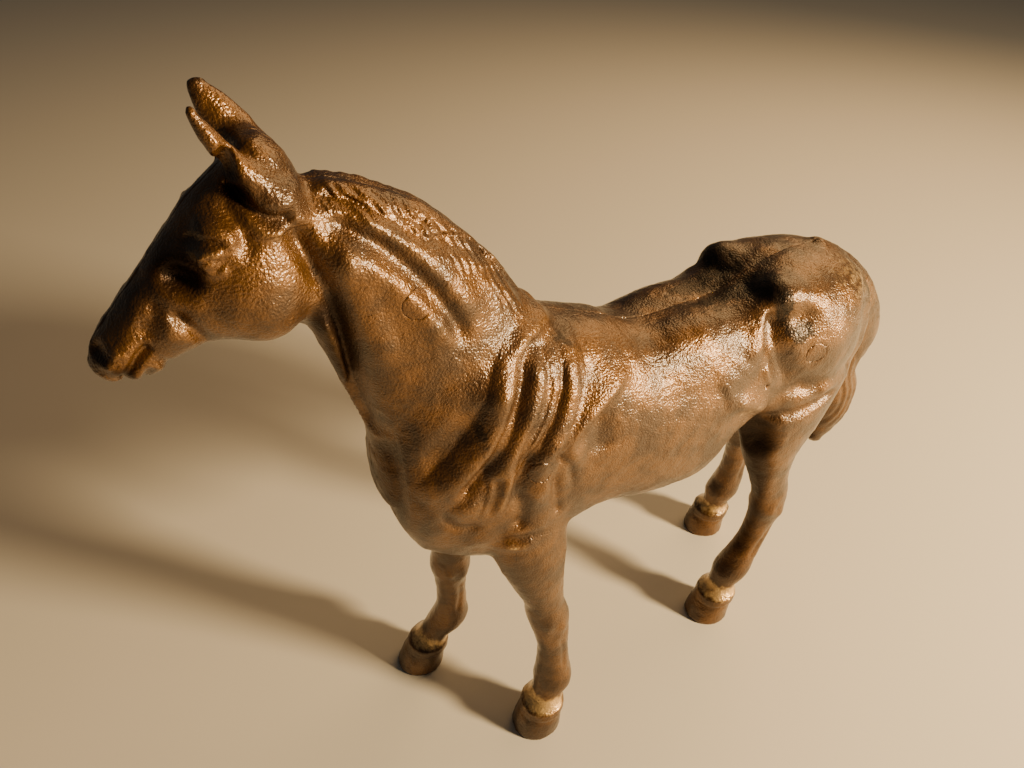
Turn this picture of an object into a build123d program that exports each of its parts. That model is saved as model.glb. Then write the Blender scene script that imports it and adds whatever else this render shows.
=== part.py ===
from build123d import *

import math
import os

# A hollow cast-iron figure of a standing horse, made the way such figures are founded.  Two
# thin-walled half castings, left and right, meet on the flat parting plane Y = 0.  Two locating
# studs on the left half enter sockets in the right half, and three soft-iron rivets pull the
# halves together and are dressed flush with the skin.  Legs, ears and tail are cast on.
#
# Millimetres.  The head points to -X, the left side is -Y, +Z is up.  The origin lies on the
# ground, on the parting plane, halfway between the muzzle and the tail.

# ---------------------------------------------------------------- driving dimensions
WALL = 4.5                  # thickness of the hollow castings in the barrel
RIVET_R = 2.5               # rivet shank
RIVET_FIT = 0.05            # radial gap left round the shank
HEAD_R = 4.6                # rivet head where it meets the skin
HEAD_DEPTH = 3.0            # how far the rivet head is sunk below the skin
BOSS_R = 6.5                # iron left round each rivet inside the hollow
STUD_R = 2.0                # locating studs
STUD_LENGTH = 3.0
STUD_FIT = 0.1              # gap left round each stud
SOCKET_DEPTH = 3.5
STUD_BOSS_R = 4.5
RING_POINTS = 12            # knots of every ring
CORONET = 2                 # place of the ring where the hoof ends, in each leg below
KNEE = 8                    # place of the ring at the knee or hock
PINCH = 4                   # place of the narrow ring in the tail
BLOCK = 400.0               # edge of the block that divides the figure at the parting plane
FLOOR_ROOM = 100.0          # how far up the block's middle lies, so that it holds the whole figure
PROBE_R = 0.6               # thin bar that feels for the skin over each rivet

# Trunk, breast to buttocks: x, lowest z, highest z, half width, level of the widest point, squareness
TRUNK = [
    (-88, 142, 160, 8, 0.5, 1.0),
    (-82, 123, 175, 17, 0.5, 1.0),
    (-71, 105, 188, 23, 0.45, 0.95),
    (-55, 96, 195, 26.5, 0.45, 0.9),
    (-32, 97, 189, 27.5, 0.45, 0.9),
    (-12, 103, 183, 28.5, 0.45, 0.9),
    (9, 100, 175, 30, 0.45, 0.9),
    (31, 98, 174, 30, 0.48, 0.9),
    (47, 104, 175, 28, 0.55, 0.85),
    (61, 112, 180, 29, 0.65, 0.8),
    (79, 114, 184, 30, 0.6, 0.85),
    (97, 114, 182, 28, 0.55, 0.85),
    (112, 117, 174, 22, 0.5, 0.9),
    (123, 128, 160, 13, 0.5, 1.0),
]
# Neck, shoulders to poll: underside x, z; crest x, z; half width
NECK = [
    (-83, 140, -5, 178, 24),
    (-90, 165, -30, 191, 20),
    (-96, 186, -47, 214, 16.5),
    (-100, 200, -67, 234, 14.5),
    (-104, 210, -88, 246, 13),
    (-107, 217, -99, 250, 11),
]
# Head, poll to lips: jaw x, z; face x, z; half width
HEAD = [
    (-97, 222, -94, 244, 8),
    (-101, 213, -110, 253.5, 12.5),
    (-108, 209, -120.5, 249, 14),
    (-116, 209, -129, 241.5, 13.2),
    (-125, 211, -137.5, 232.5, 10.5),
    (-133, 210, -145, 225, 8.6),
    (-142, 206, -152, 217.5, 8.4),
    (-147, 207.5, -153.5, 213.5, 6),
]
# Tail, dock to tip: body side x, z; outer side x, z; half width
TAIL = [
    (88, 168, 98, 184, 6),
    (106, 158, 121, 170, 7),
    (120, 142, 140, 152, 8),
    (129, 124, 151, 130, 8),
    (126, 109, 144, 111, 7.5),
    (128, 96, 149.5, 95, 8.5),
    (129.5, 83, 149.5, 79, 8.2),
    (131.5, 69, 139, 65, 3.5),
]
# Legs, ground up: z, centre x, centre y outwards, half length, half width
NEAR_FORE = [
    (0, -42.5, 28, 10.5, 10),
    (6, -41.5, 28, 9.8, 9.4),
    (13, -39.5, 27.5, 8.4, 8.4),
    (18, -37, 27, 6.5, 7),
    (25, -34, 26, 8, 8),
    (33, -33.5, 25, 7, 7),
    (45, -33.5, 24, 6.3, 6.3),
    (55, -34, 22.5, 7.5, 7.5),
    (62, -34.7, 21, 8.5, 8.5),
    (72, -36.5, 20.5, 8, 8),
    (86, -39.5, 20, 10.5, 9),
    (102, -42, 19, 14, 10),
    (122, -44, 17, 16, 10),
]
FAR_FORE = [
    (0, -74, 24, 10.5, 10),
    (6, -72.5, 24, 9.8, 9.4),
    (13, -69.5, 23.5, 8.4, 8.4),
    (18, -66.5, 23, 6.5, 7),
    (25, -60, 22, 8.5, 8),
    (35, -58, 21, 6.8, 6.5),
    (46, -57.8, 20.5, 6.3, 6.3),
    (55, -57.8, 20.2, 7, 7),
    (62, -57.6, 20, 8.3, 8.3),
    (72, -57, 19.5, 8, 8),
    (86, -55, 19, 10, 9),
    (102, -51, 18, 14, 10),
    (122, -49, 16, 16, 10),
]
NEAR_HIND = [
    (0, 60, 20, 10.5, 9.8),
    (6, 61.5, 20, 9.8, 9.2),
    (13, 64, 20, 8.2, 8),
    (18, 66.5, 20, 6.5, 6.6),
    (26, 71, 20, 8.8, 7.8),
    (34, 75, 20, 7.5, 6.8),
    (42, 79, 20, 6.6, 6),
    (54, 82.5, 20, 7.2, 6.2),
    (62, 84.5, 20, 8.6, 7),
    (70, 85, 19.5, 9.4, 7),
    (82, 82, 19, 10, 7.5),
    (96, 79, 18, 15, 9.5),
    (112, 79, 17, 22, 12),
    (132, 81, 16, 27, 13),
]
FAR_HIND = [
    (0, 96, 24, 10.5, 9.8),
    (6, 97, 24, 9.8, 9.2),
    (13, 99, 23.5, 8.2, 8),
    (18, 100.5, 23, 6.5, 6.6),
    (26, 103, 22.5, 8.8, 7.8),
    (34, 105, 22, 7.5, 6.8),
    (42, 106, 21.5, 6.6, 6),
    (54, 107, 21, 7.2, 6.2),
    (62, 107, 20.5, 8.6, 7),
    (70, 106, 20, 9.4, 7),
    (82, 98, 19, 10, 7.5),
    (96, 90, 18, 15, 9.5),
    (112, 84, 17, 22, 12),
    (132, 81, 16, 27, 13),
]
# Ears, root to tip: z, centre x, centre y outwards, half length, half thickness
NEAR_EAR = [
    (244, -104, 7, 8.5, 4.5),
    (251, -107.5, 7.5, 7, 4),
    (259, -112, 8, 5, 3),
    (265, -116, 8.5, 3, 2),
    (268, -118.5, 8.8, 1.2, 0.9),
]
FAR_EAR = [
    (244, -102.5, 7, 8.5, 4.5),
    (251, -105.5, 7.5, 7, 4),
    (259, -109, 8, 5, 3),
    (266, -112.5, 8.5, 3, 2),
    (269, -115, 8.8, 1.2, 0.9),
]
# Rivets through both halves: name, x, z
RIVETS = [
    ("neck_rivet", -77, 214),
    ("shoulder_rivet", -45, 150),
    ("rump_rivet", 73, 156),
]
# Locating studs: x, z
STUDS = [(13, 108), (19, 160)]


# ---------------------------------------------------------------- forms
def rounded(value, power):
    """Push a sine or cosine outwards, so that an oval becomes squarer."""
    return math.copysign(abs(value) ** power, value)


def ring(low, high, half_width, widest=0.5, power=1.0):
    """An upright egg-shaped ring across the figure, between two points of the parting plane."""
    foot = Vector(low[0], 0, low[1])
    rise = Vector(high[0], 0, high[1]) - foot
    points = []
    for i in range(RING_POINTS):
        angle = 2 * math.pi * i / RING_POINTS
        level = 0.5 - 0.5 * rounded(math.cos(angle), power)
        level += (widest - 0.5) * math.sin(math.pi * level)
        points.append(foot + rise * level + Vector(0, half_width * rounded(math.sin(angle), power), 0))
    return Wire([Spline(*points, periodic=True)])


def level_ring(z, x, y, half_length, half_width):
    """A level oval ring, for legs and ears."""
    points = []
    for i in range(RING_POINTS):
        angle = 2 * math.pi * i / RING_POINTS
        points.append((x + half_length * math.cos(angle), y + half_width * math.sin(angle), z))
    return Wire([Spline(*points, periodic=True)])


def trunk(inset=0.0):
    """The barrel and haunches; an inset gives the hollow inside, which stops short of both ends."""
    rows = TRUNK[3:-2] if inset else TRUNK
    return Solid.make_loft([
        ring((x, low + inset), (x, high - inset), half - inset, widest, power)
        for x, low, high, half, widest, power in rows
    ])


def limb(rows, inset=0.0):
    """Neck, head or tail; an inset gives the hollow inside it."""
    rings = []
    for low_x, low_z, high_x, high_z, half in rows:
        low = Vector(low_x, 0, low_z)
        high = Vector(high_x, 0, high_z)
        step = (high - low).normalized() * inset
        low += step
        high -= step
        rings.append(ring((low.X, low.Z), (high.X, high.Z), half - inset))
    return Solid.make_loft(rings)


def upright(rows, side):
    """A smooth column through level rings, on the left (-1) or the right (1)."""
    return Solid.make_loft([level_ring(z, x, side * y, hx, hy) for z, x, y, hx, hy in rows])


def leg(rows, side):
    """Hoof, shank and upper leg, which meet at the coronet and at the knee or hock."""
    hoof = upright(rows[:CORONET + 1], side)
    shank = upright(rows[CORONET:KNEE + 1], side)
    return hoof + shank + upright(rows[KNEE:], side)


def bar(x, z, radius, start, end):
    """A round bar along Y."""
    plane = Plane(origin=(x, start, z), x_dir=(1, 0, 0), z_dir=(0, 1, 0))
    return Solid.make_cylinder(radius, end - start, plane)


def rivet(x, z, reach, fit=0.0):
    """A rivet with a countersunk head at each side, left standing a little proud of the skin."""
    proud = HEAD_DEPTH / 2
    flare = (HEAD_R - RIVET_R) / HEAD_DEPTH
    body = bar(x, z, RIVET_R + fit, -reach - proud, reach + proud)
    for side in (-1, 1):
        seat = Plane(origin=(x, side * (reach - HEAD_DEPTH), z), x_dir=(1, 0, 0), z_dir=(0, side, 0))
        mouth = HEAD_R + flare * proud
        body += Solid.make_cone(RIVET_R, mouth, HEAD_DEPTH + proud, seat)
    return body


def half(side, legs, ear, skin, hollow, fixings):
    """One half casting: its share of the skin with its two legs and its ear, hollowed and drilled."""
    block = Pos(0, side * BLOCK / 2, FLOOR_ROOM) * Box(BLOCK, BLOCK, BLOCK)
    body = skin & block
    for rows in legs:
        body += leg(rows, side)
    body += upright(ear, side)
    body -= hollow
    for fixing in fixings:
        body -= fixing
    return body


skin = trunk() + limb(NECK) + limb(HEAD) + limb(TAIL[:PINCH + 1]) + limb(TAIL[PINCH:])
hollow = trunk(WALL) + limb(NECK, WALL)

pieces = {}
drills = []
for name, x, z in RIVETS:
    hollow -= bar(x, z, BOSS_R, -BLOCK / 2, BLOCK / 2)
    reach = (skin & bar(x, z, PROBE_R, 0, BLOCK / 2)).bounding_box().max.Y
    pieces[name] = rivet(x, z, reach) & skin
    drills.append(rivet(x, z, reach, RIVET_FIT))
for x, z in STUDS:
    hollow -= bar(x, z, STUD_BOSS_R, -BLOCK / 2, BLOCK / 2)

left = half(-1, [NEAR_FORE, NEAR_HIND], NEAR_EAR, skin, hollow, drills)
right = half(1, [FAR_FORE, FAR_HIND], FAR_EAR, skin, hollow, drills)
for x, z in STUDS:
    left += bar(x, z, STUD_R, -STUD_LENGTH, STUD_LENGTH)
    right -= bar(x, z, STUD_R + STUD_FIT, -STUD_LENGTH, SOCKET_DEPTH)
pieces["left_half"] = left
pieces["right_half"] = right

# ---------------------------------------------------------------- files
os.makedirs("parts", exist_ok=True)
for name, shape in pieces.items():
    solids = shape.solids()
    print(name, "solids", len(solids), "valid", shape.is_valid, "mm3", round(shape.volume))
    export_step(shape, f"parts/{name}.step")
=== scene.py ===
import math

import bpy
import numpy as np
import openvdb
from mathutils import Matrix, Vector


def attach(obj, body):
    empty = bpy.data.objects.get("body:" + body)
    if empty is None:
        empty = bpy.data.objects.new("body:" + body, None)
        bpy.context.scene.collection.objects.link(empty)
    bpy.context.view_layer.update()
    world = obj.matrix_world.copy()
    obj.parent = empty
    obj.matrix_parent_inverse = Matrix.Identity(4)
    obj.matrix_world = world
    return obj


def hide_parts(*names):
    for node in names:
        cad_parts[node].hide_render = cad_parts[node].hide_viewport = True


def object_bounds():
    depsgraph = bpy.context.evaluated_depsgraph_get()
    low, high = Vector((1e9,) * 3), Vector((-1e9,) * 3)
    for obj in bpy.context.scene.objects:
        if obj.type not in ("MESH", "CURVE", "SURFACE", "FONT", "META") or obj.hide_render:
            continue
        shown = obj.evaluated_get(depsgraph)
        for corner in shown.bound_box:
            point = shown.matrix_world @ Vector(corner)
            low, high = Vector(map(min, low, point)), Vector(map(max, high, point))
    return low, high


# A cast-iron horse figure.  Each half casting is carved as a field of distances in millimetres,
# from smooth masses and from strokes laid over the flank, and is then turned into a mesh.
# The head points to -X, the horse's left side is -Y, +Z is up.

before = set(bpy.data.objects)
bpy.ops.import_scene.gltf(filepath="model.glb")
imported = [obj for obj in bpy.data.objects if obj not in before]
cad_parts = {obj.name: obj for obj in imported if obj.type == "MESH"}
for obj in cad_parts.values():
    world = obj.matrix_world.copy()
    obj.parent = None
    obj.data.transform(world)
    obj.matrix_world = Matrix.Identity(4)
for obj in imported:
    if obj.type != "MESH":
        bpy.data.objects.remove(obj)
cad_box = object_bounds()

MM = 0.001
CELL = 0.6                  # carving step, mm
REACH = 9.0                 # how far from the skin the field is kept true, mm
LAP = 0.5                   # how far pieces run into each other, so that no notch shows between them, mm
SEAM = 0.35                 # rounding of the edge where the halves meet, mm
SPAN_REACH = 90.0           # how far from its ring the span of a mass is looked for, mm
CAP_REACH = 45.0            # the same for the cap beyond an end ring, mm
RAISED_FADE = 5.0           # raised forms die away this far from the parting plane, mm
SUNK_FADE = 2.5             # the same for sunk forms, mm
FORE_FILLET, HIND_FILLET = 3.0, 4.0      # where the legs meet the trunk, mm
SKIN = [(3.5, 0.10), (1.6, 0.06)]        # unevenness of the cast skin: pitch and height, mm
BELOW = 3                   # cells of the grid below the ground and past the parting plane
LOW = np.array([-156.0, -BELOW * CELL, -BELOW * CELL])
HIGH = np.array([155.0, 40.0, 272.0])

xs, ys, zs = (np.arange(a, b, CELL, dtype=np.float32) for a, b in zip(LOW, HIGH))
X2, Z2 = np.meshgrid(xs, zs, indexing="ij")

# ------------------------------------------------------------------ rings of the masses, mm
# Trunk: x, lowest z, highest z, half width, level of the widest point
TRUNK = [
    (-86, 133, 160, 11, 0.5),
    (-84.5, 122, 170, 16, 0.5),
    (-80, 112, 179, 20, 0.5),
    (-71, 104.5, 188, 23, 0.45),
    (-55, 97, 195, 26, 0.45),
    (-32, 99, 189, 27, 0.45),
    (-12, 104, 183, 28, 0.45),
    (9, 100, 175, 29, 0.45),
    (31, 98, 174, 29, 0.48),
    (47, 105, 175, 27.5, 0.55),
    (61, 116, 180, 27.5, 0.65),
    (79, 120, 184, 28, 0.6),
    (97, 120, 182, 27, 0.55),
    (112, 122, 174, 22, 0.5),
    (122, 132, 160, 13, 0.5),
]
# Neck: underside x, z; crest x, z; half width
NECK = [
    (-83, 140, -5, 178, 24),
    (-90, 165, -30, 191, 20),
    (-96, 186, -47, 214, 16.5),
    (-100, 200, -67, 234, 14.5),
    (-104, 210, -88, 244.8, 13),
    (-107, 217, -99, 247, 11),
]
# Head: jaw x, z; face x, z; half width
HEAD = [
    (-98, 219, -95, 240.5, 9),
    (-101, 213, -110, 253.5, 12.5),
    (-108, 209, -120.5, 249.5, 14),
    (-116, 209, -129, 241.5, 13.2),
    (-125, 211, -137.5, 232.5, 10.5),
    (-133, 210, -145, 225, 8.8),
    (-142, 206, -152, 217.5, 8.6),
    (-147, 207.5, -153.5, 213.5, 6),
]
# Tail: body side x, z; outer side x, z; half width
TAIL = [
    (88, 168, 98, 184, 6),
    (106, 158, 121, 170, 7),
    (120, 142, 140, 152, 8),
    (129, 124, 150.5, 130, 8),
    (126, 109, 144, 111, 7.5),
    (127, 97, 149.5, 96, 8.5),
    (129, 84, 147, 80, 8),
    (131, 70, 138, 66, 3.5),
]
# Legs, ground up: z, centre x, centre y outwards, half length, half width
NEAR_FORE = [
    (0, -42.5, 28, 10.5, 10),
    (6, -41.5, 28, 9.8, 9.4),
    (13, -39.5, 27.5, 8.4, 8.4),
    (18, -37, 27, 6.5, 7),
    (25, -34, 26, 8, 8),
    (33, -33.5, 25, 7, 7),
    (45, -33.5, 24, 6.3, 6.3),
    (55, -34, 22.5, 7.5, 7.5),
    (62, -34.7, 21, 8.5, 8.5),
    (72, -36.5, 20.5, 8, 8),
    (86, -39.5, 20, 10.5, 9),
    (102, -42, 19, 14, 10),
    (122, -44, 17, 16, 10),
]
FAR_FORE = [
    (0, -74, 24, 10.5, 10),
    (6, -72.5, 24, 9.8, 9.4),
    (13, -69.5, 23.5, 8.4, 8.4),
    (18, -66.5, 23, 6.5, 7),
    (25, -60, 22, 8.5, 8),
    (35, -58, 21, 6.8, 6.5),
    (46, -57.8, 20.5, 6.3, 6.3),
    (55, -57.8, 20.2, 7, 7),
    (62, -57.6, 20, 8.3, 8.3),
    (72, -57, 19.5, 8, 8),
    (86, -55, 19, 10, 9),
    (102, -51, 18, 14, 10),
    (122, -49, 16, 16, 10),
]
NEAR_HIND = [
    (0, 60, 20, 10.5, 9.8),
    (6, 61.5, 20, 9.8, 9.2),
    (13, 64, 20, 8.2, 8),
    (18, 66.5, 20, 6.5, 6.6),
    (26, 71, 20, 8.8, 7.8),
    (34, 75, 20, 7.5, 6.8),
    (42, 79, 20, 6.6, 6),
    (54, 82.5, 20, 7.2, 6.2),
    (62, 83.8, 20, 8.3, 7),
    (70, 84, 19.5, 8.8, 7),
    (82, 80.5, 19, 9.6, 7.5),
    (96, 78.5, 18, 13.5, 9.5),
    (112, 81, 17, 21, 12),
    (132, 84, 16, 27, 13),
]
FAR_HIND = [
    (0, 96, 24, 10.5, 9.8),
    (6, 97, 24, 9.8, 9.2),
    (13, 99, 23.5, 8.2, 8),
    (18, 100.5, 23, 6.5, 6.6),
    (26, 103, 22.5, 8.8, 7.8),
    (34, 105, 22, 7.5, 6.8),
    (42, 106, 21.5, 6.6, 6),
    (54, 107, 21, 7.2, 6.2),
    (62, 107, 20.5, 8.6, 7),
    (70, 106, 20, 9.4, 7),
    (82, 99, 19, 10.5, 7.5),
    (96, 91, 18, 15, 9.5),
    (112, 86, 17, 22, 12),
    (132, 84, 16, 27, 13),
]
# Ears, and the web of iron between them: level rings, as the legs
NEAR_EAR = [
    (242, -106, 7.5, 7, 6),
    (248, -107.6, 8.0, 6.6, 5),
    (254, -111.3, 8.6, 4.4, 4),
    (260, -115.2, 9.0, 2.6, 2.8),
    (265, -117.8, 9.2, 1.7, 1.8),
    (267.8, -119.0, 9.3, 1.0, 1.1),
]
EAR_WEB = [
    (242, -104.5, 0, 7.5, 9),
    (250, -105.6, 0, 6.4, 9),
    (256, -107.2, 0, 4.4, 8.5),
    (258.5, -108.2, 0, 3.2, 7),
]
FAR_EAR = [
    (242, -104.5, 6.5, 7.5, 6.5),
    (249, -106, 7.0, 7.4, 5.5),
    (256, -108.2, 7.8, 6.2, 4.5),
    (261.5, -110.6, 8.4, 4.9, 3.4),
    (265.5, -112.6, 8.8, 3.7, 2.4),
    (268.3, -114.2, 9.0, 2.2, 1.5),
]

# Swellings and hollows: centre, radii, fillet, lean in degrees
BODY_SWELLINGS = [
    ((62, 15, 174), (9, 9, 9), 5.0),                            # point of the hip
    ((31, 10.5, 160.7), (32, 12.4, 14.5), 6.0),                 # loin
]
HEAD_SWELLINGS = [
    ((-106, 7.0, 246.5), (6.5, 6.5, 4.0), 2.5, 15),             # root of the ear
    ((-107, 1.5, 251), (6.5, 6.0, 6.0), 4.0, 50),               # poll
    ((-113.5, 6.5, 226), (11.5, 9.2, 15.5), 3.0, 8),            # cheek
    ((-119.5, 8.8, 239), (5.5, 4.6, 5.0), 3.0, -30),            # brow
    ((-123.3, 12.4, 236.8), (2.4, 2.2, 1.9), 0.4, 5),           # eyeball
]
HOLLOWS = [
    ((-131.0, 12.5, 233.2), (5.6, 7.0, 3.9), 2.0, -22),         # below the eye
    ((-116.5, 11.5, 253.5), (2.6, 5.0, 7.5), 1.5, -20),         # inside of the ear
    ((54, 26, 113.5), (15.5, 12, 13.2), 4.0, -27),              # flank, before the thigh
]

# Rivets dressed flush with the skin: CAD node, x, z
RIVETS = [
    ("neck_rivet", -77, 214),
    ("shoulder_rivet", -45, 150),
    ("rump_rivet", 73, 156),
]
SHANK_R, HEAD_R, HEAD_DEPTH = 2.5, 4.6, 3.0

# Where the paint has gone from the dark iron: centre, reach (x, outwards, z), amount.  These and
# the two tables below mark both sides of the figure alike.
WORN = [
    ((44, 6, 177), (24, 9, 9), 0.75),
    ((58, 12, 180), (9, 9, 4), 0.8),
    ((59.5, 22, 175), (3.5, 9, 7), 1.0),
    ((67, 26, 165.5), (6.5, 9, 4.5), 1.0),
    ((62, 27, 153), (4, 9, 10), 0.5),
    ((101, 22, 164), (6, 9, 5), 0.7),
    ((113, 16, 166), (6, 8, 9), 0.8),
    ((-30, 12, 186), (7, 9, 5), 0.7),
    ((-63, 22, 169), (4, 9, 9), 0.7),
    ((-46, 24, 172), (4, 9, 9), 0.6),
    ((-70, 22, 152), (8, 9, 7), 0.5),
    ((-40, 26, 158), (5, 9, 8), 0.5),
    ((-151, 6, 216), (4, 6, 4), 0.7),
    ((-112, 11, 250), (4, 5, 4), 0.6),
]
# Where it is painted lighter. The bands above the hoofs are worn bright by rubbing. The flank fold, the hip,
# the top of the rump and the top of the forearm carry painted highlight where they face the light.
RUBBED_AND_HIGHLIT = [
    ((-39, 28, 16.5), (12, 13, 3.6), 1.3),
    ((-68, 24, 16.5), (12, 13, 3.6), 1.1),
    ((65, 20, 16.5), (12, 13, 3.6), 1.3),
    ((100, 24, 16.5), (12, 13, 3.6), 1.1),
    ((98, 14, 173), (20, 16, 13), 0.6),
    ((46, 28, 138), (9, 9, 3), 0.5),
    ((52, 28, 168), (3, 9, 10), 0.4),
    ((-52, 30, 116), (8, 12, 2.5), 0.5),
]
# Painted shade: the skin is painted darker and duller at places that lie in shade, namely the eye hollow, the
# ear, the mouth, the throat, the elbow, the flank, the breast and the front of the hind legs.  This is a
# guess, as such places may only lie in shade.
PAINTED_SHADE = [
    ((-129.5, 8, 233.5), (6, 7, 4.5), 1.0),
    ((-132, 8, 222.5), (2.2, 7, 3.5), 0.35),
    ((-113.8, 9, 251), (3.2, 6, 5.5), 1.1),
    ((-147, 6, 212), (3, 7, 3), 0.7),
    ((-151.5, 5, 216), (2.5, 6, 3), 0.6),
    ((-96, 8, 194), (5, 9, 26), 0.75),
    ((-100, 6, 213), (3, 9, 6), 0.7),
    ((-55, 24, 121), (3, 12, 4), 0.5),
    ((53, 18, 117), (12, 12, 11), 1.0),
    ((60, 20, 107), (9, 14, 14), 1.2),
    ((68, 18, 89), (6, 12, 12), 1.0),
    ((72, 20, 71), (5, 10, 15), 0.8),
    ((71, 20, 50), (5.5, 10, 13), 0.8),
    ((-88, 0, 136), (11, 22, 26), 0.6),
]


# ------------------------------------------------------------------ carving tools
def through(stations, values, at):
    """A smooth curve through values at the stations, read at each place."""
    stations = np.asarray(stations, np.float32)
    values = np.asarray(values, np.float32)
    slopes = np.gradient(values, stations)
    at = np.clip(at, stations[0], stations[-1])
    i = np.clip(np.searchsorted(stations, at) - 1, 0, len(stations) - 2)
    span = stations[i + 1] - stations[i]
    t = (at - stations[i]) / span
    start = (1 + 2 * t) * (1 - t) ** 2 * values[i] + t * (1 - t) ** 2 * span * slopes[i]
    end = t * t * (3 - 2 * t) * values[i + 1] + t * t * (t - 1) * span * slopes[i + 1]
    return start + end


def part_of(box):
    """The slices of the grid inside a box of millimetres."""
    return tuple(
        slice(max(int((a - low) / CELL), 0), int((b - low) / CELL) + 2)
        for (a, b), low in zip(box, LOW)
    )


def blend(field, cut, new, k):
    """Join a new mass to the field, with a fillet of about k millimetres."""
    old = field[cut]
    h = np.maximum(k - np.abs(old - new), 0) / k
    field[cut] = np.minimum(old, new) - h * h * k / 4


def add_limb(field, rings, k, cap=6.0, square=2.0):
    """A mass through rings that stand across the parting plane, each from a low to a high point.

    square above 2 makes the rings squarer than ovals."""
    lows = np.array([(r[0], r[1]) for r in rings], np.float32)
    highs = np.array([(r[2], r[3]) for r in rings], np.float32)
    halves = [r[4] for r in rings]
    side = []
    for low, high in zip(lows, highs):
        along = (high - low) / np.linalg.norm(high - low)
        side.append((X2 - low[0]) * along[1] - (Z2 - low[1]) * along[0])
    along = highs[0] - lows[0]
    onward = (lows[1] + highs[1]) / 2 - lows[0]
    heading = np.sign(onward[0] * along[1] - onward[1] * along[0])
    side = [heading * s for s in side]
    middles = (lows + highs) / 2
    gap = [np.hypot(X2 - m[0], Z2 - m[1]) for m in middles]
    place = np.full(X2.shape, -1.0, np.float32)
    for i in range(len(rings) - 1):
        inside = (side[i] >= 0) & (side[i + 1] < 0) & (gap[i] < SPAN_REACH) & (place < 0)
        place = np.where(inside, i + side[i] / (side[i] - side[i + 1] + 1e-6), place)
    last = len(rings) - 1
    before = (side[0] < 0) & (place < 0) & (gap[0] < CAP_REACH)
    after = (side[-1] >= 0) & (place < 0) & (gap[-1] < CAP_REACH)
    beyond = np.where(before, -side[0], 0) + np.where(after, side[-1], 0)
    known = (place >= 0) | before | after
    place = np.where(before, 0, np.where(after, last, place))
    stations = np.arange(last + 1)
    low_x, low_z = (through(stations, lows[:, j], place) for j in (0, 1))
    high_x, high_z = (through(stations, highs[:, j], place) for j in (0, 1))
    half = through(stations, halves, place)
    chord = np.hypot(high_x - low_x, high_z - low_z)
    level = ((X2 - low_x) * (high_x - low_x) + (Z2 - low_z) * (high_z - low_z)) / chord**2
    if len(rings[0]) > 5:
        widest = through(stations, [r[5] for r in rings], place)
    else:
        widest = 0.5
    up = np.where(level > widest, (1 - widest) * chord, widest * chord)
    height = (level - widest) * chord
    near = known & (np.abs(height) < up + REACH)
    if not near.any():
        return
    i0, i1 = np.where(near.any(1))[0][[0, -1]]
    k0, k1 = np.where(near.any(0))[0][[0, -1]]
    j1 = int((max(halves) + REACH - LOW[1]) / CELL) + 1
    cut = (slice(i0, i1 + 1), slice(0, j1), slice(k0, k1 + 1))
    flat = (cut[0], cut[2])
    y = ys[None, :j1, None]
    a = half[flat][:, None, :]
    b = up[flat][:, None, :]
    h = height[flat][:, None, :]
    e = beyond[flat][:, None, :]
    n = square
    p, q, c = np.abs(y / a) + 1e-4, np.abs(h / b) + 1e-4, e / cap
    r = (p**n + q**n + c**n) ** (1 / n)
    slope = np.sqrt((p ** (n - 1) / a) ** 2 + (q ** (n - 1) / b) ** 2 + (c ** (n - 1) / cap) ** 2)
    d = (r - 1) * r ** (n - 1) / (slope + 1e-6)
    d = np.where(near[flat][:, None, :], np.clip(d, -REACH, REACH), REACH)
    blend(field, cut, d.astype(np.float32), k)


def add_column(field, rings, k, top_cap=4.0):
    """A leg or an ear: level ovals, each at its own height."""
    stations = [r[0] for r in rings]
    wide = max(max(r[3], r[4]) for r in rings) + REACH
    box = [
        (min(r[1] for r in rings) - wide, max(r[1] for r in rings) + wide),
        (min(r[2] for r in rings) - wide, max(r[2] for r in rings) + wide),
        (stations[0] - 2, stations[-1] + top_cap + REACH),
    ]
    cut = part_of(box)
    z = zs[cut[2]]
    cx, cy, hx, hy = (through(stations, [r[i] for r in rings], z) for i in (1, 2, 3, 4))
    x = xs[cut[0]][:, None, None]
    y = ys[cut[1]][None, :, None]
    p, q = (x - cx) / hx, (y - cy) / hy
    e = np.maximum(z - stations[-1], 0) / top_cap
    r = np.sqrt(p * p + q * q + e * e) + 1e-4
    d = (r - 1) * r / np.sqrt((p / hx) ** 2 + (q / hy) ** 2 + (e / top_cap) ** 2 + 1e-6)
    blend(field, cut, np.clip(d, -REACH, REACH).astype(np.float32), k)


def blob_distance(centre, radii, lean=0.0):
    """An ellipsoid that leans in the side view by so many degrees."""
    big = max(radii) + REACH
    cut = part_of([(c - big, c + big) for c in centre])
    x = xs[cut[0]][:, None, None] - centre[0]
    y = ys[cut[1]][None, :, None] - centre[1]
    z = zs[cut[2]][None, None, :] - centre[2]
    a = math.radians(lean)
    x, z = x * math.cos(a) + z * math.sin(a), z * math.cos(a) - x * math.sin(a)
    p, q, s = x / radii[0], y / radii[1], z / radii[2]
    r = np.sqrt(p * p + q * q + s * s) + 1e-4
    d = (r - 1) * r / np.sqrt((p / radii[0]) ** 2 + (q / radii[1]) ** 2 + (s / radii[2]) ** 2 + 1e-6)
    return cut, np.clip(d, -REACH, REACH).astype(np.float32)


def add_blob(field, centre, radii, k, lean=0.0):
    cut, d = blob_distance(centre, radii, lean)
    blend(field, cut, d, k)


def cut_blob(field, centre, radii, k, lean=0.0):
    cut, d = blob_distance(centre, radii, lean)
    old = -field[cut]
    h = np.maximum(k - np.abs(old - d), 0) / k
    field[cut] = -(np.minimum(old, d) - h * h * k / 4)


def dome(relief, centre, radii, height, lean=0.0):
    """Raise or sink an oval patch of the skin."""
    a = math.radians(lean)
    x, z = X2 - centre[0], Z2 - centre[1]
    u, v = x * math.cos(a) + z * math.sin(a), z * math.cos(a) - x * math.sin(a)
    relief += height * np.exp(-((u / radii[0]) ** 2) - (v / radii[1]) ** 2)


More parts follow.
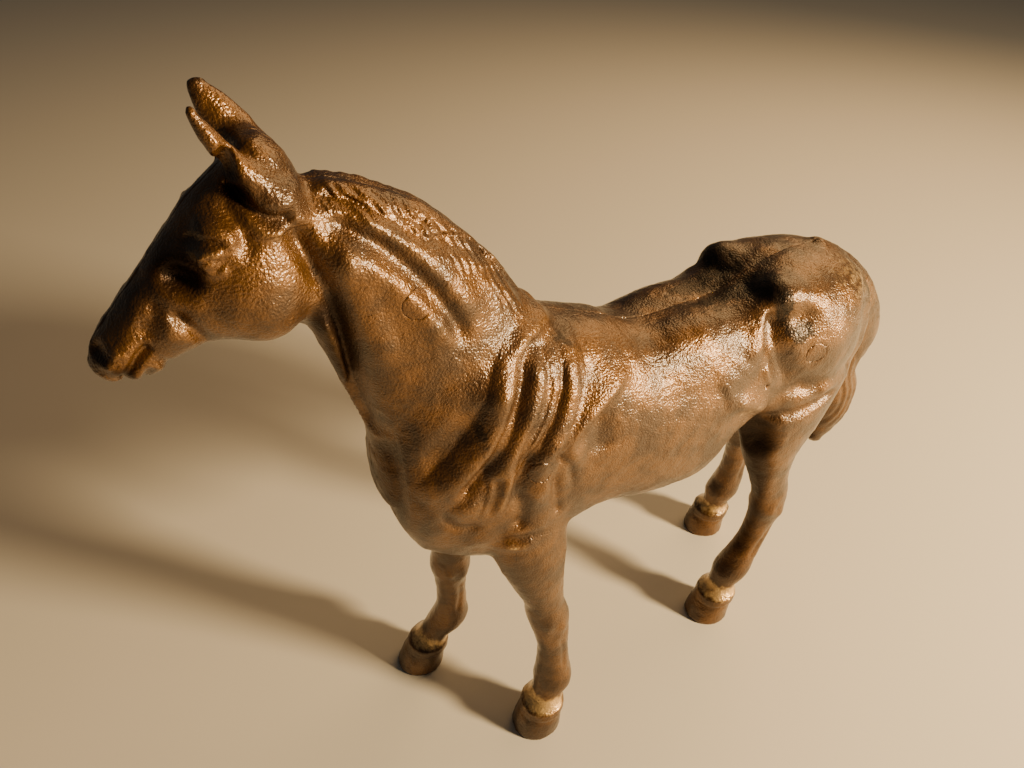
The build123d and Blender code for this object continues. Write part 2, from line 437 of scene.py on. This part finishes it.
def beside(points, pad):
    """Around a smooth line over the side view: the distance to it, the run along it from 0 to 1,
    and a number above 0 to the left of its run."""
    points = np.array(points, np.float32)
    fine = np.linspace(0, len(points) - 1, 8 * (len(points) - 1) + 1)
    line = np.stack([through(np.arange(len(points)), points[:, i], fine) for i in (0, 1)], 1)
    cut = (
        slice(*np.searchsorted(xs, [line[:, 0].min() - pad, line[:, 0].max() + pad])),
        slice(*np.searchsorted(zs, [line[:, 1].min() - pad, line[:, 1].max() + pad])),
    )
    x, z = X2[cut], Z2[cut]
    near = np.full(x.shape, 1e9, np.float32)
    run = np.zeros_like(near)
    left = np.zeros_like(near)
    for i, (a, b) in enumerate(zip(line, line[1:])):
        step = b - a
        t = np.clip(((x - a[0]) * step[0] + (z - a[1]) * step[1]) / (step @ step), 0, 1)
        dx, dz = x - a[0] - t * step[0], z - a[1] - t * step[1]
        gap = np.hypot(dx, dz)
        closer = gap < near
        near = np.where(closer, gap, near)
        run = np.where(closer, (i + t) / (len(line) - 1), run)
        left = np.where(closer, step[0] * dz - step[1] * dx, left)
    return cut, near, run, left


def combed(relief, points, reach, length, pitch, sweep, depth):
    """Fine hair to the right of a line of about the given length, swept back along the line's run."""
    cut, near, run, left = beside(points, reach)
    along = run * length
    wander = 1.1 * np.sin(along / 5.0) + 0.9 * np.sin(near * 0.9 + along / 3.0)
    wave = np.sin(2 * math.pi * (along - sweep * near) / pitch + wander)
    width = reach * (0.75 + 0.2 * np.sin(along / 2.7))
    mask = np.clip((width - near) / 1.5, 0, 1) * np.clip(near / 2, 0, 1) * np.clip((1 - run) * 12, 0, 1)
    mask = mask * np.clip(run * 12 - 0.3, 0, 1)
    relief[cut] += np.where(left < 0, depth * wave * mask, 0)


def stroke(relief, points, width, height, soft=1.0, taper=0.25, crisp=False):
    """Raise (or, with a negative height, sink) the skin along a line drawn over the flank.

    soft below 1 makes the side left of the line's run steeper than the other; a crisp stroke
    meets the skin in a crease instead of fading into it."""
    cut, near, run, left = beside(points, (1.0 if crisp else 2.6) * width + CELL)
    fade = np.clip(np.minimum(run, 1 - run) / taper, 0, 1) if taper else 1.0
    fade = fade * fade * (3 - 2 * fade)
    across = (near / np.where(left > 0, soft * width, width)) ** 2
    relief[cut] += height * fade * (np.clip(1 - across, 0, 1) if crisp else np.exp(-across))


def lumps(shape, pitch, seed):
    """Smooth random swellings of about one, repeating at roughly the given pitch in mm."""
    n = [int(count * CELL / pitch) + 3 for count in shape]
    grid = np.random.default_rng(seed).normal(size=n).astype(np.float32)
    for axis, count in enumerate(shape):
        at = np.arange(count) * CELL / pitch
        i = at.astype(int)
        t = (at - i).astype(np.float32)
        t = t * t * (3 - 2 * t)
        t = t.reshape([-1 if k == axis else 1 for k in range(3)])
        grid = np.take(grid, i, axis) * (1 - t) + np.take(grid, i + 1, axis) * t
    return grid


# ------------------------------------------------------------------ modelling of the flank
def mane(relief):
    """A short mane that lies back along the crest in fine locks and ends in a scalloped edge."""
    crest = [(-97, 247.5), (-90, 246.5), (-79, 242), (-69, 235.5), (-58, 225.5), (-48, 214), (-36, 199)]
    edge = [(-97, 244.5), (-92, 243.2), (-85, 240), (-79, 235.5), (-71, 229), (-62, 226), (-55, 221.5),
            (-48, 213), (-41, 205), (-33, 195)]
    stroke(relief, crest, 6.0, 1.0, taper=0.1)
    stroke(relief, edge, 1.9, -1.3, soft=0.5, taper=0.12)
    combed(relief, crest, 9.5, 80, 5.2, 2.2, 0.3)
    stroke(relief, [(-80, 238.5), (-74, 234), (-68, 231)], 1.1, -1.0)
    stroke(relief, [(-67, 226.5), (-61, 223), (-54, 218), (-49, 214)], 1.2, -1.1)
    stroke(relief, [(-56, 216), (-50, 212), (-43, 205), (-36, 197)], 1.5, -1.2)


def neck_cords(relief):
    """Two long furrows down the neck, the windpipe cord and the dark groove behind it."""
    stroke(relief, [(-97, 240), (-89, 234.5), (-82, 228.5), (-77, 222.5), (-72, 215.5), (-67.5, 207.5),
                    (-62, 196)],
           3.0, -2.6, soft=0.9, taper=0.12)
    stroke(relief, [(-92, 243), (-84, 237.5), (-77, 231), (-70, 222.5), (-63, 212),
                    (-57, 201)], 4.6, 1.8, taper=0.2)
    stroke(relief, [(-97, 235), (-90, 230.5), (-83, 223), (-77, 215.5), (-71, 206.5),
                    (-66, 196)], 5.5, 2.2, taper=0.2)
    stroke(relief, [(-105, 243), (-101.5, 232), (-97.5, 220), (-95.2, 208), (-93.5, 194), (-91.5, 178),
                    (-89, 166)],
           2.6, -3.4, taper=0.12)
    stroke(relief, [(-101, 216), (-98.5, 206), (-96, 194), (-94.5, 182)], 1.9, 1.4)
    stroke(relief, [(-99, 238), (-93, 224), (-89, 208), (-86, 190)], 5, 1.5)
    dome(relief, (-48, 192), (4.5, 2.6), 0.8, 30)
    dome(relief, (-89, 178.5), (0.9, 0.9), 0.7)


def shoulder_folds(relief):
    """Folds of skin that fall from the withers, forward to the breast and down to the elbow."""
    stroke(relief, [(-62, 180), (-66, 172.5), (-72.5, 165), (-79, 157.5),
                    (-84, 151)], 4.6, -2.0, taper=0.4)
    stroke(relief, [(-25.6, 191.3), (-34.6, 193.8), (-43.6, 192.3),
                    (-50.6, 186.8)], 3.6, 2.4, soft=0.8, taper=0.3)
    stroke(relief, [(-45.6, 191.8), (-51.1, 185.8), (-55.6, 177.3), (-60.6, 167.8), (-67.6, 158.8),
                    (-74.6, 151.8), (-81.6, 143.8)],
           6.2, 2.7, taper=0.2, crisp=True)
    dome(relief, (-58, 181), (5, 5), 1.8, -30)
    stroke(relief, [(-37.6, 190.8), (-45.1, 187.3), (-49.1, 179.3), (-53.6, 169.8), (-59.6, 159.8),
                    (-66.6, 152.3), (-73.6, 146.8)],
           2.8, -1.8, taper=0.12)
    stroke(relief, [(-39.6, 188.3), (-43.1, 179.3), (-47.6, 171.3), (-53.1, 163.8), (-57.1, 154.8),
                    (-58.6, 144.8), (-63, 131.5)],
           5.0, 2.4, taper=0.12, crisp=True)
    stroke(relief, [(-37.4, 185.8), (-39.8, 176.8), (-44.6, 168.3), (-50.6, 159.8)], 1.2, -0.9)
    stroke(relief, [(-34.6, 188.8), (-36.8, 179.3), (-40.9, 171.3), (-45.8, 163.8),
                    (-49.6, 154.8)], 3.0, 1.8, taper=0.2,
           crisp=True)
    stroke(relief, [(-33.1, 186.8), (-35.1, 175.8), (-39.6, 167.3), (-45.1, 159.8), (-49.6, 152.8),
                    (-52.6, 144.8), (-53, 133.5)],
           1.5, -1.1, taper=0.12)
    stroke(relief, [(-29.1, 189.8), (-30.1, 178.8), (-33.6, 170.3), (-38.6, 162.3), (-42.6, 153.8),
                    (-44.6, 143.8), (-45, 131.5)],
           6.0, 2.5, taper=0.15, crisp=True)
    stroke(relief, [(-26.6, 184.8), (-27.1, 174.8), (-30.6, 166.8), (-34.6, 160.8), (-38.1, 154.8),
                    (-36.1, 149.8), (-32.6, 144.8), (-31, 132.5)],
           1.4, -0.9, taper=0.12)
    stroke(relief, [(-6.6, 173.3), (-17.6, 169.3), (-26.6, 163.8), (-32.6, 157.3), (-32.1, 150.8),
                    (-27.5, 141.5)],
           4.6, 2.4, soft=0.8, taper=0.2)
    stroke(relief, [(-22.6, 163.8), (-21.1, 154.8), (-20.6, 144.8)], 4.5, -1.4)
    stroke(relief, [(-59.1, 153.8), (-60.1, 145.8), (-63, 135.5)], 1.9, -1.8)
    dome(relief, (-68, 141), (7.5, 8.5), 2.2, 20)
    stroke(relief, [(-76.6, 144.8), (-74, 135), (-68, 131), (-62, 131)], 2.0, -1.6)
    dome(relief, (-64, 122.5), (5, 4), 1.0)
    dome(relief, (-43, 132.5), (7, 13), 1.6, -10)
    stroke(relief, [(-39.1, 146.8), (-38, 135.5), (-35.5, 122.5)], 2.0, -1.2)
    stroke(relief, [(-51.6, 144.8), (-50, 133.5), (-51.5, 122.5)], 2.2, -1.4)
    stroke(relief, [(-61, 119.5), (-53, 120), (-45, 120), (-37, 118.5)], 1.7, -0.9, taper=0.4)
    stroke(relief, [(-60, 115), (-53, 116), (-43, 115.5)], 2.2, 0.9, taper=0.4)


def haunch_forms(relief):
    """The sharp hip ridge, the hollow behind it, the thigh and the flank fold."""
    stroke(relief, [(53.5, 180), (51.3, 175), (48.3, 168.5), (46.3, 162),
                    (46.3, 153)], 5.5, 2.0, soft=0.7, taper=0.35)
    stroke(relief, [(58.5, 178), (57, 172), (56, 164), (58, 156), (62.8, 147),
                    (65.8, 136)], 4.4, -3.6, taper=0.35)
    dome(relief, (64.8, 171), (8, 5.5), -2.2, -30)
    stroke(relief, [(50.8, 156), (52.8, 151), (56.3, 145.5)], 1.8, 0.8)
    stroke(relief, [(29.8, 147), (38.8, 144.5), (46.8, 141), (54.8, 135.5),
                    (61.8, 127.7)], 3.6, 2.4, taper=0.35)
    stroke(relief, [(29.8, 151), (36.8, 155), (42.8, 161)], 6, 1.0)
    dome(relief, (83.8, 152), (13, 19), 3.6, 20)
    dome(relief, (71.8, 178), (8, 6), 1.8, 0)
    stroke(relief, [(100.8, 171), (107, 155), (106, 142), (100, 134)], 4.5, -1.8)
    stroke(relief, [(67.8, 143), (75.8, 137), (85.8, 134)], 4.5, -1.0)
    stroke(relief, [(58.8, 125.7), (67.8, 124.7), (77.8, 125.4), (88.8, 128.2),
                    (98, 131.5)], 2.4, -2.2, soft=1.6)
    dome(relief, (53.8, 146), (1.0, 1.0), -1.6)


def face_forms(relief):
    """Brow, eye, cheek, mouth and nostril."""
    stroke(relief, [(-125, 243.5), (-120, 243), (-115.5, 239.5)], 2.4, 1.0)
    stroke(relief, [(-128, 239.4), (-123.5, 241.4), (-118, 240)], 0.9, -0.8)
    stroke(relief, [(-127, 238), (-123.5, 239.4), (-119.5, 238.2)], 1.0, 1.3)
    stroke(relief, [(-126, 234.6), (-122.5, 234), (-119.5, 235.4)], 0.9, 0.9)
    stroke(relief, [(-117, 250), (-115, 243), (-114.5, 235)], 2.2, -0.9)
    stroke(relief, [(-134, 226.5), (-131.6, 222), (-128.8, 217), (-126.8, 211)], 1.8, -2.2, taper=0.35)
    dome(relief, (-132.3, 224), (1.8, 1.8), -0.6)
    stroke(relief, [(-138, 229.5), (-143, 222.5), (-147.5, 215.5)], 2.0, 0.8)
    stroke(relief, [(-134.5, 230), (-138, 223.5), (-141, 219)], 2.2, -0.8)
    dome(relief, (-135, 218), (4.5, 4.5), 0.4)
    stroke(relief, [(-115, 252), (-113, 248.5), (-110.5, 245), (-107, 243.3),
                    (-102, 242.8)], 1.7, -2.1, taper=0.15)
    stroke(relief, [(-116, 245), (-110, 240.5), (-105, 239.5)], 2.0, 0.8)


def mouth_forms(relief):
    stroke(relief, [(-149, 208), (-146.3, 211.5), (-143, 215.5), (-139.5, 218)], 1.2, -1.9, taper=0.12)
    stroke(relief, [(-145, 204.5), (-143, 208.5), (-141, 212)], 1.0, -1.6)
    stroke(relief, [(-135.8, 206), (-137.5, 210.5), (-140, 214)], 1.1, -1.3)
    dome(relief, (-139, 210.5), (2.2, 2.4), 0.9)
    stroke(relief, [(-151.5, 213), (-148.5, 216.5), (-146, 218.5)], 1.5, 0.9)
    dome(relief, (-151, 216.8), (2.0, 1.4), -2.0, 40)


def tail_locks(relief):
    for shift in (-9.5, -6.0, -2.5, 1.5):
        stroke(relief, [(138 + shift, 122), (140 + shift, 109), (144 + shift, 97), (143 + shift, 86),
                        (137 + shift, 72)], 1.2, -0.8)
        stroke(relief, [(104 + shift, 176 + shift), (122 + shift, 166 + shift), (138 + shift, 150 + shift / 2),
                        (145 + shift, 132)], 1.3, -0.4)


def leg_forms(relief, rings):
    """Knee or hock, sinews and fetlock, at the heights of the leg's own rings."""
    places = {r[0]: r for r in rings}
    knee, fetlock = places[62], rings[4]
    dome(relief, (knee[1] - 4, 64), (2.6, 3.0), 0.9)
    dome(relief, (knee[1] + 2.5, 61), (2.4, 3.2), 0.7)
    stroke(relief, [(knee[1] + 1, 56), (rings[6][1] + 1.5, 46), (fetlock[1] + 2, 33)], 1.2, -0.7)
    stroke(relief, [(fetlock[1] - 5, 19), (fetlock[1] + 5, 21)], 1.1, -0.6)


def flank():
    """All that is drawn over either side of the figure, as a height over the side view."""
    relief = np.zeros(X2.shape, np.float32)
    for draw in (mane, neck_cords, shoulder_folds, haunch_forms, face_forms, mouth_forms, tail_locks):
        draw(relief)
    return relief


def blurred(relief, reach):
    """The relief smoothed over about the given distance in mm."""
    n = int(reach / CELL)
    kernel = np.hanning(2 * n + 3)[1:-1]
    kernel /= kernel.sum()
    for axis in (0, 1):
        relief = np.apply_along_axis(lambda line: np.convolve(line, kernel, "same"), axis, relief)
    return relief


FLANK = flank()
# The fine relief alone. It paints shade in the furrows and highlight on the ridges.
FOLDS = FLANK - blurred(FLANK, 5.0)


# ------------------------------------------------------------------ the half castings
def carve(legs, ear, seed):
    """The distance field of one half casting, with its outward side along +Y."""
    field = np.full((len(xs), len(ys), len(zs)), REACH, np.float32)
    trunk = [(x, low, x, high, half, level) for x, low, high, half, level in TRUNK]
    add_limb(field, trunk, 1.0, cap=4.0, square=2.35)
    for swelling in BODY_SWELLINGS:
        add_blob(field, *swelling)
    add_limb(field, NECK, 7.0)
    add_limb(field, HEAD, 5.0, cap=2.5)
    add_limb(field, TAIL, 2.5, cap=4.0)
    for rings in legs:
        add_column(field, rings[:3], 0.3, top_cap=1.2)
        add_column(field, rings[2:], FORE_FILLET if rings[0][1] < 0 else HIND_FILLET, top_cap=8.0)
    add_column(field, ear, 3.0, top_cap=1.2)
    add_column(field, EAR_WEB, 2.5, top_cap=1.5)
    for swelling in HEAD_SWELLINGS:
        add_blob(field, *swelling)
    for hollow in HOLLOWS:
        cut_blob(field, *hollow)
    raised, sunk = (np.clip(ys / d, 0, 1) for d in (RAISED_FADE, SUNK_FADE))
    raised, sunk = ((a * a * (3 - 2 * a))[None, :, None] for a in (raised, sunk))
    relief = FLANK.copy()
    for rings in legs:
        leg_forms(relief, rings)
    field -= np.maximum(relief, 0)[:, None, :] * raised + np.minimum(relief, 0)[:, None, :] * sunk
    for i, (pitch, height) in enumerate(SKIN):
        field -= height * lumps(field.shape, pitch, seed + i)
    return np.maximum(field, -zs[None, None, :])


def rivet_hole(field, x, z, gap=0.0):
    """Distance to a rivet: a shank that flares to a head just where it meets the skin."""
    cut = part_of([(x - 14, x + 14), (LOW[1], HIGH[1]), (z - 14, z + 14)])
    off = np.hypot(xs[cut[0]][:, None, None] - x, zs[cut[2]][None, None, :] - z)
    flare = np.clip(1 + field[cut] / HEAD_DEPTH, 0, 1)
    return cut, off - (SHANK_R + (HEAD_R - SHANK_R) * flare + gap)


def parted(field):
    """Drill a half for its rivets and cut it off at the parting plane."""
    field = field.copy()
    for _, x, z in RIVETS:
        cut, hole = rivet_hole(field, x, z, -LAP)
        field[cut] = np.maximum(field[cut], -hole)
    seam = -ys[None, :, None] - LAP / 2
    h = np.maximum(SEAM - np.abs(field - seam), 0) / SEAM
    return np.maximum(field, seam) + h * h * SEAM / 4


def meshed(name, field, low, flip, finish):
    """Turn a field into a smooth-shaded piece; low is the place of its first corner in mm."""
    grid = openvdb.FloatGrid(REACH)
    grid.copyFromArray(field)
    points, triangles, quads = grid.convertToPolygons(0.0, 0.0)
    points = points * CELL + low
    if flip:
        points[:, 1] *= -1
    faces = [tuple(f) for f in quads.tolist()] + [tuple(f) for f in triangles.tolist()]
    if not flip:
        faces = [f[::-1] for f in faces]
    mesh = bpy.data.meshes.new(name)
    mesh.from_pydata((points * MM).tolist(), [], faces)
    mesh.polygons.foreach_set("use_smooth", [True] * len(mesh.polygons))
    weather(mesh, points)
    mesh.materials.append(finish)
    piece = bpy.data.objects.new(name, mesh)
    bpy.context.scene.collection.objects.link(piece)
    return piece


def weather(mesh, points):
    """Store how far each place is worn to iron, lightened by rubbing and painted highlight, and darkened and
    dulled by painted shade, and how far it stands above or below the skin around it."""
    x, y, z = points[:, 0], np.abs(points[:, 1]), points[:, 2]
    for key, spots in (("worn", WORN), ("rubbed_and_highlit", RUBBED_AND_HIGHLIT), ("painted_shade", PAINTED_SHADE)):
        total = np.zeros(len(points))
        for centre, radii, amount in spots:
            gap = sum(((p - c) / r) ** 2 for p, c, r in zip((x, y, z), centre, radii))
            total += amount * np.exp(-gap)
        mesh.attributes.new(key, "FLOAT", "POINT").data.foreach_set("value", np.clip(total, 0, 1))
    i = np.clip(((x - LOW[0]) / CELL).round().astype(int), 0, len(xs) - 1)
    k = np.clip(((z - LOW[2]) / CELL).round().astype(int), 0, len(zs) - 1)
    fold = FOLDS[i, k] * np.clip(y / 8, 0, 1)
    mesh.attributes.new("fold", "FLOAT", "POINT").data.foreach_set("value", fold)


# ------------------------------------------------------------------ materials
def linear(code):
    """An sRGB hex colour as linear RGBA."""
    parts = [int(code[i:i + 2], 16) / 255 for i in (1, 3, 5)]
    return [p / 12.92 if p <= 0.04045 else ((p + 0.055) / 1.055) ** 2.4 for p in parts] + [1.0]


def node(tree, kind, settings=None, inputs=None):
    """Add a node, set its properties, and set or link its inputs."""
    made = tree.nodes.new(kind)
    for key, value in (settings or {}).items():
        setattr(made, key, value)
    for key, value in (inputs or {}).items():
        if isinstance(value, bpy.types.NodeSocket):
            tree.links.new(value, made.inputs[key])
        else:
            made.inputs[key].default_value = value
    return made


GRAIN = 0.7                 # mm between the bumps that moulding sand leaves, an assumed size
PATCH = 11.0                # mm between clouds of thinner and thicker paint
FLAKE = 2.6                 # mm, the size of the flakes at the edge of a worn place
GRAIN_HEIGHT = 0.38         # mm, from pit to top
METAL = 0.7                 # matched: less than bare metal, as the paint has a binder
COAT_ROUGHNESS = 0.23       # matched: a soft sheen, neither matt nor polished


def bronzed_iron(name, light, deep):
    """Bronze paint brushed thinly over a sand-cast iron skin: the sand's grain shows through it as
    fine pebbling with bright tops, and it has worn to smooth, dark, oily iron on the back."""
    material = bpy.data.materials.new(name)
    material.use_nodes = True
    tree = material.node_tree
    shader = tree.nodes["Principled BSDF"]
    place = node(tree, "ShaderNodeTexCoord").outputs["Object"]
    worn_at, rubbed_and_highlit_at, painted_shade_at, fold = (
        node(tree, "ShaderNodeAttribute", {"attribute_name": key}).outputs["Fac"]
        for key in ("worn", "rubbed_and_highlit", "painted_shade", "fold")
    )
    grain, cloud, flake = (
        node(tree, "ShaderNodeTexNoise", None, {
            "Vector": place, "Scale": 1 / (pitch * MM), "Detail": detail, "Roughness": rough}).outputs["Fac"]
        for pitch, detail, rough in ((GRAIN, 1.5, 0.5), (PATCH, 3.0, 0.5), (FLAKE, 4.0, 0.65))
    )
    broken = node(tree, "ShaderNodeMath", {"operation": "MULTIPLY_ADD"}, {
        0: flake, 1: 1.3, 2: -0.65}).outputs[0]
    worn_edge, rubbed_and_highlit_edge = (
        node(tree, "ShaderNodeMath", {"operation": "ADD"}, {0: at, 1: broken}).outputs[0]
        for at in (worn_at, rubbed_and_highlit_at)
    )

    # How much of each thing shows: its pattern's low...high becomes start...end, held at both ends.
    shows = {}
    for key, pattern, low, high, start, end in (
        ("worn", worn_edge, 0.40, 0.72, 0.0, 1.0),
        ("rubbed_and_highlit", rubbed_and_highlit_edge, 0.35, 0.95, 0.0, 1.0),
        ("thick", cloud, 0.35, 0.65, 0.0, 1.0),
        ("pits", grain, 0.30, 0.56, 0.35, 0.0),
        # painted shade in the furrows of the fine relief, painted highlight on its ridges
        ("furrows", fold, -0.3, -1.8, 0.0, 0.4),
        ("ridges", fold, 0.3, 1.6, 0.0, 0.45),
        # painted shade: how far the colour is darkened where shade falls
        ("painted_shade_mask", painted_shade_at, 0.15, 0.8, 0.0, 0.85),
        ("brown iron", flake, 0.3, 0.7, 0.0, 1.0),
        ("gloss", cloud, 0.3, 0.7, 0.48, 0.38),
        # the coat is thinned in the painted shade, so no gloss shows there
        ("coat_outside_painted_shade", painted_shade_at, 0.1, 0.6, 0.85, 0.05),
        ("on iron", "worn", 0.0, 1.0, 1.0, 0.3),
    ):
        value = shows[pattern] if isinstance(pattern, str) else pattern
        shows[key] = node(tree, "ShaderNodeMapRange", {"interpolation_type": "SMOOTHSTEP"}, {
            "Value": value, "From Min": low, "From Max": high, "To Min": start, "To Max": end,
        }).outputs["Result"]

    paint = linear(deep)
    for key, over in (
        ("thick", light),
        ("pits", "#2a1a0d"),
        # painted shade in the furrows, painted highlight on the ridges
        ("furrows", "#26160b"),
        ("ridges", "#b38c58"),
        # painted shade
        ("painted_shade_mask", "#160b06"),
        # worn bright by rubbing on the hoof bands, painted highlight on the flank fold, hip, rump and forearm
        ("rubbed_and_highlit", "#dcb980"),
    ):
        paint = node(tree, "ShaderNodeMix", {"data_type": "RGBA"}, {
            0: shows[key], 6: paint, 7: linear(over)}).outputs[2]
    iron = node(tree, "ShaderNodeMix", {"data_type": "RGBA"}, {
        0: shows["brown iron"], 6: linear("#0f0a07"), 7: linear("#3a2b1d")}).outputs[2]
    colour = node(tree, "ShaderNodeMix", {"data_type": "RGBA"}, {
        0: shows["worn"], 6: paint, 7: iron}).outputs[2]

    film = node(tree, "ShaderNodeMath", {"operation": "MULTIPLY"}, {
        0: shows["coat_outside_painted_shade"], 1: shows["on iron"]}).outputs[0]
    height = node(tree, "ShaderNodeMath", {"operation": "MULTIPLY_ADD"}, {
        0: flake, 1: 0.25, 2: grain}).outputs[0]
    bump = node(tree, "ShaderNodeBump", None, {
        "Height": height, "Distance": GRAIN_HEIGHT * MM, "Strength": 0.8})
    for socket, value in (("Base Color", colour), ("Roughness", shows["gloss"]), ("Coat Weight", film),
                          ("Normal", bump.outputs["Normal"]),
                          ("Coat Normal", bump.outputs["Normal"])):
        tree.links.new(value, shader.inputs[socket])
    shader.inputs["Metallic"].default_value = METAL
    shader.inputs["Coat Roughness"].default_value = COAT_ROUGHNESS
    return material


# ------------------------------------------------------------------ pieces
paint = bronzed_iron("bronze paint brushed over sand-cast iron", "#694619", "#422b10")
rivet_paint = bronzed_iron("bronze paint brushed over filed soft iron", "#644218", "#3f290f")
near = carve([NEAR_FORE, NEAR_HIND], NEAR_EAR, seed=3)
far = carve([FAR_FORE, FAR_HIND], FAR_EAR, seed=11)
for name, field, flip, cad, slot in (
    ("near_half_casting", near, True, "left_half", "casting_left"),
    ("far_half_casting", far, False, "right_half", "casting_right"),
):
    piece = meshed(name, parted(field), LOW, flip, paint)
    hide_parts(cad)
    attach(piece, "root")
for cad, x, z in RIVETS:
    ends = []
    for field in (near, far):
        cut, body = rivet_hole(field, x, z)
        ends.append(np.maximum(field[cut], body)[:, BELOW:, :])
    bar = np.concatenate([ends[0][:, :0:-1, :], ends[1]], axis=1)
    low = np.array([xs[cut[0]][0], -CELL * (ends[0].shape[1] - 1), zs[cut[2]][0]])
    piece = meshed("dressed_" + cad, bar, low, False, rivet_paint)
    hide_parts(cad)
    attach(piece, "root")

# ------------------------------------------------------------------ camera, light and floor
AZIMUTH, ELEVATION, ROLL = (math.radians(a) for a in (-29.6, 37.4, 0.3))
EYE = Vector((-138.7, -174.8, 317.3)) * MM
LENS = 26.75                # mm, on a 36 mm wide sensor

back = Vector((
    math.sin(AZIMUTH) * math.cos(ELEVATION),
    -math.cos(AZIMUTH) * math.cos(ELEVATION),
    math.sin(ELEVATION),
))
camera = bpy.data.objects.new("camera", bpy.data.cameras.new("camera"))
camera.data.lens = LENS
camera.data.sensor_width = 36.0
camera.data.clip_start = 0.01
camera.location = EYE
turn = back.to_track_quat("Z", "Y").to_matrix().to_4x4()
camera.rotation_euler = turn.to_euler()
camera.rotation_euler.rotate_axis("Z", ROLL)
bpy.context.scene.collection.objects.link(camera)
bpy.context.scene.camera = camera


def lamp(name, at, aim, size, power, colour):
    light = bpy.data.objects.new(name, bpy.data.lights.new(name, "AREA"))
    light.data.shape = "DISK"
    light.data.size = size
    light.data.energy = power
    light.data.color = linear(colour)[:3]
    light.location = at
    light.rotation_euler = (Vector(at) - Vector(aim)).to_track_quat("Z", "Y").to_euler()
    bpy.context.scene.collection.objects.link(light)


lamp("key softbox", (0.60, -0.72, 0.42), (0, 0, 0.12), 0.16, 32.0, "#ffdca6")
lamp("ceiling softbox", (0.75, 0.25, 0.78), (0, 0, 0.12), 0.8, 6.0, "#ffcf8e")

world = bpy.data.worlds.new("studio")
world.use_nodes = True
world.node_tree.nodes["Background"].inputs["Color"].default_value = linear("#f4efe6")
world.node_tree.nodes["Background"].inputs["Strength"].default_value = 0.06
bpy.context.scene.world = world

bpy.ops.mesh.primitive_plane_add(size=8.0, location=(0, 0, cad_box[0][2]))
floor = bpy.context.object
floor.name = "floor"
sheet = bpy.data.materials.new("matt paper sweep")
sheet.use_nodes = True
sheet.node_tree.nodes["Principled BSDF"].inputs["Base Color"].default_value = linear("#d6d0c5")
sheet.node_tree.nodes["Principled BSDF"].inputs["Roughness"].default_value = 0.8
floor.data.materials.append(sheet)
